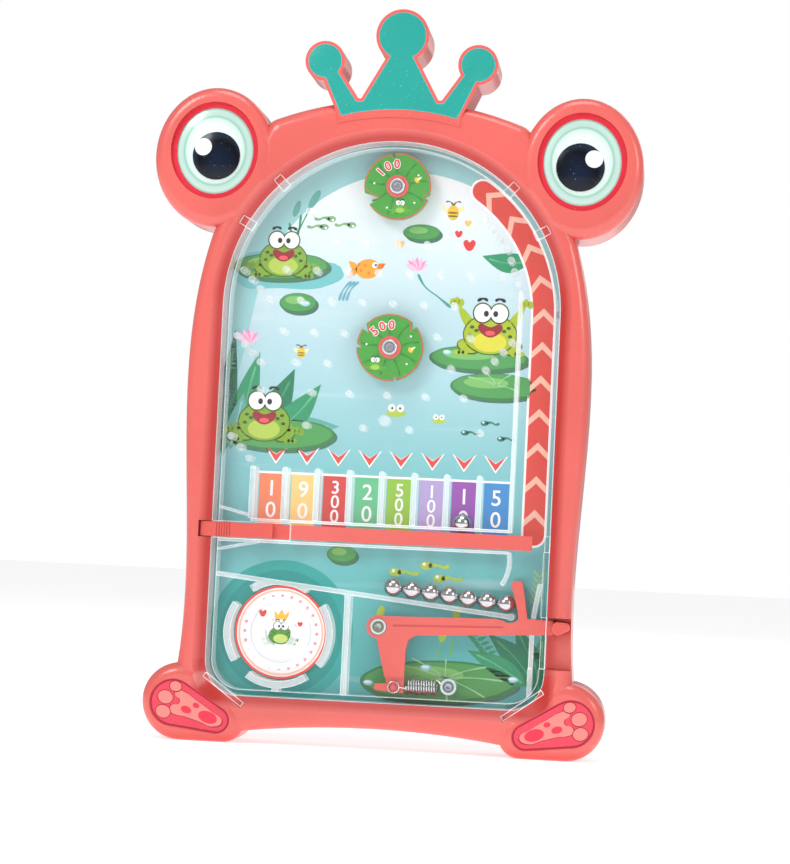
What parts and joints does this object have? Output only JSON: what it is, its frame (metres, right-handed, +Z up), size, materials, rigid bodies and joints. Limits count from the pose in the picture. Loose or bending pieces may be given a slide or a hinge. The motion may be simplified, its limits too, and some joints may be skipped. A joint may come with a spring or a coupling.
{
  "type": "tabletop pachinko game",
  "caption": "Upright pocket pachinko game in a rounded animal-shaped case with clear front, spinning wheels, spring lever, slide bar and steel balls.",
  "frame": {"origin": "centre of the bounding box in X and Y, on the ground under the feet", "axes": "+Z up, +X to the right seen from the front, front faces -Y"},
  "size_m": [0.1692, 0.026, 0.2547],
  "materials": {
    "coral_case": "glossy moulded plastic",
    "teal_crown": "glossy moulded plastic",
    "eye_ring_red": "glossy moulded plastic",
    "eye_white": "glossy printed plastic",
    "pupil_black": "glossy printed plastic",
    "foot_crimson": "printed inlay",
    "clear_plastic": "clear polystyrene",
    "dial_print": "printed disc",
    "card_print": "coated printed card",
    "plate_teal": "plain moulded plastic",
    "spinner_green": "printed plastic",
    "hub_coral": "glossy moulded plastic",
    "coral_moving": "glossy moulded plastic",
    "rivet_metal": "plated rivet",
    "spring_steel": "bright spring wire",
    "ball_steel": "polished steel ball"
  },
  "bodies": {
    "case": {"front_shell": "coral_case", "rear_shell": "coral_case", "crown_cap": "teal_crown", "eye_ring_left": "eye_ring_red", "eye_ring_right": "eye_ring_red", "eyeball_left": "eye_white", "eyeball_right": "eye_white", "pupil_left": "pupil_black", "pupil_right": "pupil_black", "foot_inlay_left": "foot_crimson", "foot_inlay_right": "foot_crimson", "window_cover": "clear_plastic", "play_walls": "clear_plastic", "slot_dividers": "clear_plastic", "pegs": "clear_plastic", "dial_disc": "dial_print", "backdrop_card": "card_print", "backing_plate": "plate_teal", "spinner_rivets": "rivet_metal", "lever_pin": "rivet_metal", "return_spring": "spring_steel", "spring_post": "rivet_metal", "case_screws": "spring_steel"},
    "spinner_top": {"spinner_top": "spinner_green", "spinner_hub_top": "hub_coral"},
    "spinner_mid": {"spinner_mid": "spinner_green", "spinner_hub_mid": "hub_coral"},
    "launch_lever": {"launch_lever": "coral_moving"},
    "release_bar": {"release_bar": "coral_moving"},
    "feed_balls": {"feed_balls": "ball_steel"},
    "caught_ball": {"caught_ball": "ball_steel"}
  },
  "joints": [
    {"name": "lever_hinge", "type": "hinge", "parent": "case", "child": "launch_lever", "pos_m": [0.0008, -0.0067, 0.0422], "axis": [0, 1, 0], "range_deg": [0, 10], "stiffness_Nm_per_rad": 0.05, "springref_deg": -6.88, "deforming": ["return_spring"]},
    {"name": "release_slide", "type": "slide", "parent": "case", "child": "release_bar", "axis": [1, 0, 0], "range_m": [0, 0.0056]},
    {"name": "spinner_top_turn", "type": "hinge", "parent": "case", "child": "spinner_top", "pos_m": [0, -0.0053, 0.1942], "axis": [0, 1, 0], "continuous": true},
    {"name": "spinner_mid_turn", "type": "hinge", "parent": "case", "child": "spinner_mid", "pos_m": [0, -0.0053, 0.1383], "axis": [0, 1, 0], "continuous": true},
    {"name": "feed_roll", "type": "slide", "parent": "case", "child": "feed_balls", "axis": [-0.9952, 0, 0.0975], "range_m": [0, 0.05]},
    {"name": "caught_lift", "type": "slide", "parent": "case", "child": "caught_ball", "axis": [0, 0, 1], "range_m": [0, 0.035]}
  ]
}
